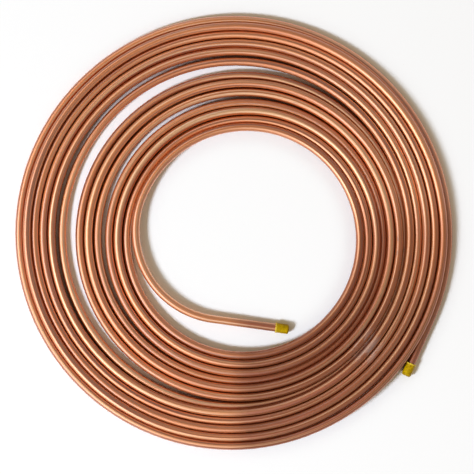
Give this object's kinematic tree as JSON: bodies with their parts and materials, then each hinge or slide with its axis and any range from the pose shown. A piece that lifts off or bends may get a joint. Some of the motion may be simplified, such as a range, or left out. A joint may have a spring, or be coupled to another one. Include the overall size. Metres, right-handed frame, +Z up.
{
  "type": "copper tube coil",
  "caption": "Flat spiral coil of soft copper tube with a free inner tail and yellow push-on end caps, stock to be uncoiled, cut, bent and joined into pipe runs.",
  "frame": {"origin": "on the floor, on the axis that the spiral winds round", "axes": "+Z up out of the coil's flat side, +X to the picture's right, +Y to the picture's top"},
  "size_m": [0.5119, 0.5079, 0.0189],
  "materials": {
    "copper": "bright drawn copper, lightly handled, dulling to pink-brown on one side",
    "cap_plastic": "soft yellow plastic with a dull sheen"
  },
  "bodies": {
    "root": {"copper_tube": "copper", "inner_end_cap": "cap_plastic", "outer_end_cap": "cap_plastic"}
  },
  "joints": []
}
